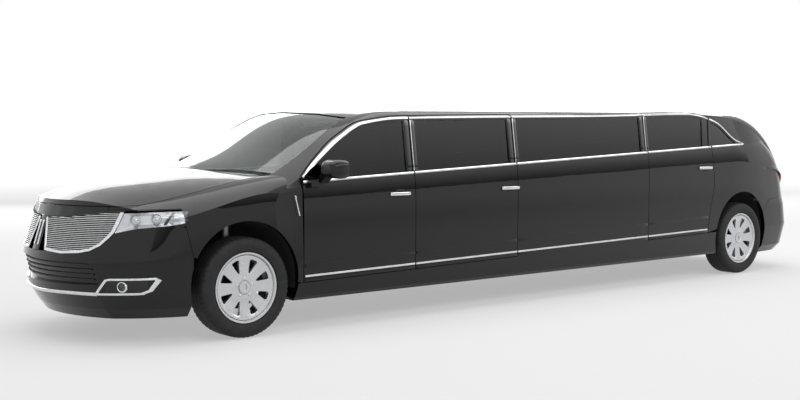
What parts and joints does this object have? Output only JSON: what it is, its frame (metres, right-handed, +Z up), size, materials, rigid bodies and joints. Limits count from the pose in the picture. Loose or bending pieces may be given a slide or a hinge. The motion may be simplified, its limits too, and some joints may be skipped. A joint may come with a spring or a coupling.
{
  "type": "stretch limousine",
  "caption": "Stretched crossover limousine with hinged side doors, bonnet and tailgate, steered front wheels and a hollow lounge cabin.",
  "frame": {"origin": "on the floor below the middle of the car's bounding box", "axes": "+X points to the front of the car, +Y to its left, +Z up; the tyres stand on Z = 0"},
  "size_m": [8.3664, 2.382, 1.7089],
  "materials": {
    "body_paint": "gloss",
    "black_trim": "matte",
    "chrome_trim": "polished",
    "lamp_clear": "gloss",
    "lamp_red": "gloss",
    "window_glass": "gloss",
    "screen_glass": "gloss",
    "wheel_alloy": "satin",
    "tyre_rubber": "matte",
    "chassis_steel": "satin",
    "cast_parts": "satin",
    "underbody": "matte",
    "liner_plastic": "matte",
    "dash_plastic": "matte",
    "seat_leather": "satin",
    "cabinet_wood": "gloss",
    "partition_trim": "satin"
  },
  "bodies": {
    "body": {"bar_cabinet": "cabinet_wood", "bay_glass": "window_glass", "bay_panel_left": "body_paint", "bay_panel_right": "body_paint", "cowl": "black_trim", "dashboard": "dash_plastic", "engine": "cast_parts", "floor_pan": "underbody", "front_axle": "chassis_steel", "front_bumper": "body_paint", "front_fender_left": "body_paint", "front_fender_right": "body_paint", "front_seats": "seat_leather", "grille": "chrome_trim", "headlamps": "lamp_clear", "lounge_seats": "seat_leather", "partition": "partition_trim", "pillars": "underbody", "quarter_glass": "window_glass", "rear_axle": "chassis_steel", "rear_bumper": "body_paint", "rear_quarter_left": "body_paint", "rear_quarter_right": "body_paint", "roof": "body_paint", "sills": "body_paint", "tail_lamps": "lamp_red", "wheel_wells": "liner_plastic", "windscreen": "screen_glass"},
    "front_door_left_body": {"front_door_left": "body_paint", "front_door_glass_left": "window_glass", "door_mirror_left": "body_paint"},
    "mid_door_left_body": {"mid_door_left": "body_paint", "mid_door_glass_left": "window_glass"},
    "rear_door_left_body": {"rear_door_left": "body_paint", "rear_door_glass_left": "window_glass"},
    "knuckle_left_body": {"knuckle_left": "cast_parts"},
    "wheel_front_left": {"rim_front_left": "wheel_alloy", "tyre_front_left": "tyre_rubber"},
    "wheel_rear_left": {"rim_rear_left": "wheel_alloy", "tyre_rear_left": "tyre_rubber"},
    "front_door_right_body": {"front_door_right": "body_paint", "front_door_glass_right": "window_glass", "door_mirror_right": "body_paint"},
    "mid_door_right_body": {"mid_door_right": "body_paint", "mid_door_glass_right": "window_glass"},
    "rear_door_right_body": {"rear_door_right": "body_paint", "rear_door_glass_right": "window_glass"},
    "knuckle_right_body": {"knuckle_right": "cast_parts"},
    "wheel_front_right": {"rim_front_right": "wheel_alloy", "tyre_front_right": "tyre_rubber"},
    "wheel_rear_right": {"rim_rear_right": "wheel_alloy", "tyre_rear_right": "tyre_rubber"},
    "bonnet_body": {"bonnet": "body_paint"},
    "tailgate_body": {"tailgate": "body_paint", "tailgate_glass": "window_glass"},
    "steering_wheel_body": {"steering_wheel": "dash_plastic"}
  },
  "joints": [
    {"name": "front_door_left_hinge", "type": "hinge", "parent": "body", "child": "front_door_left_body", "pos_m": [2.489, 0.966, 0.8], "axis": [0, 0, 1], "range_deg": [-62, 0]},
    {"name": "mid_door_left_hinge", "type": "hinge", "parent": "body", "child": "mid_door_left_body", "pos_m": [1.395, 0.966, 0.8], "axis": [0, 0, 1], "range_deg": [-62, 0]},
    {"name": "rear_door_left_hinge", "type": "hinge", "parent": "body", "child": "rear_door_left_body", "pos_m": [-1.533, 0.966, 0.8], "axis": [0, 0, 1], "range_deg": [-62, 0]},
    {"name": "steer_left", "type": "hinge", "parent": "body", "child": "knuckle_left_body", "pos_m": [2.98, 0.752, 0.37], "axis": [0, 0, 1], "range_deg": [-33, 33]},
    {"name": "wheel_front_left_spin", "type": "hinge", "parent": "knuckle_left_body", "child": "wheel_front_left", "pos_m": [2.98, 0.832, 0.37], "axis": [0, 1, 0], "continuous": true},
    {"name": "wheel_rear_left_spin", "type": "hinge", "parent": "body", "child": "wheel_rear_left", "pos_m": [-3.063, 0.832, 0.37], "axis": [0, 1, 0], "continuous": true},
    {"name": "front_door_right_hinge", "type": "hinge", "parent": "body", "child": "front_door_right_body", "pos_m": [2.489, -0.966, 0.8], "axis": [0, 0, 1], "range_deg": [0, 62]},
    {"name": "mid_door_right_hinge", "type": "hinge", "parent": "body", "child": "mid_door_right_body", "pos_m": [1.395, -0.966, 0.8], "axis": [0, 0, 1], "range_deg": [0, 62]},
    {"name": "rear_door_right_hinge", "type": "hinge", "parent": "body", "child": "rear_door_right_body", "pos_m": [-1.533, -0.966, 0.8], "axis": [0, 0, 1], "range_deg": [0, 62]},
    {"name": "steer_right", "type": "hinge", "parent": "body", "child": "knuckle_right_body", "pos_m": [2.98, -0.752, 0.37], "axis": [0, 0, 1], "range_deg": [-33, 33]},
    {"name": "wheel_front_right_spin", "type": "hinge", "parent": "knuckle_right_body", "child": "wheel_front_right", "pos_m": [2.98, -0.832, 0.37], "axis": [0, 1, 0], "continuous": true},
    {"name": "wheel_rear_right_spin", "type": "hinge", "parent": "body", "child": "wheel_rear_right", "pos_m": [-3.063, -0.832, 0.37], "axis": [0, 1, 0], "continuous": true},
    {"name": "bonnet_hinge", "type": "hinge", "parent": "body", "child": "bonnet_body", "pos_m": [2.645, 0, 1.178], "axis": [0, 1, 0], "range_deg": [-50, 0]},
    {"name": "tailgate_hinge", "type": "hinge", "parent": "body", "child": "tailgate_body", "pos_m": [-3.217, 0, 1.683], "axis": [0, 1, 0], "range_deg": [0, 75]},
    {"name": "steering_wheel_turn", "type": "hinge", "parent": "body", "child": "steering_wheel_body", "pos_m": [2.11, 0.38, 0.93], "axis": [-0.8988, 0, 0.4384], "range_deg": [-462, 462]}
  ],
  "couplings": [
    {"joint": "steer_right", "follows": "steer_left", "ratio": 1},
    {"joint": "steering_wheel_turn", "follows": "steer_left", "ratio": 14}
  ]
}
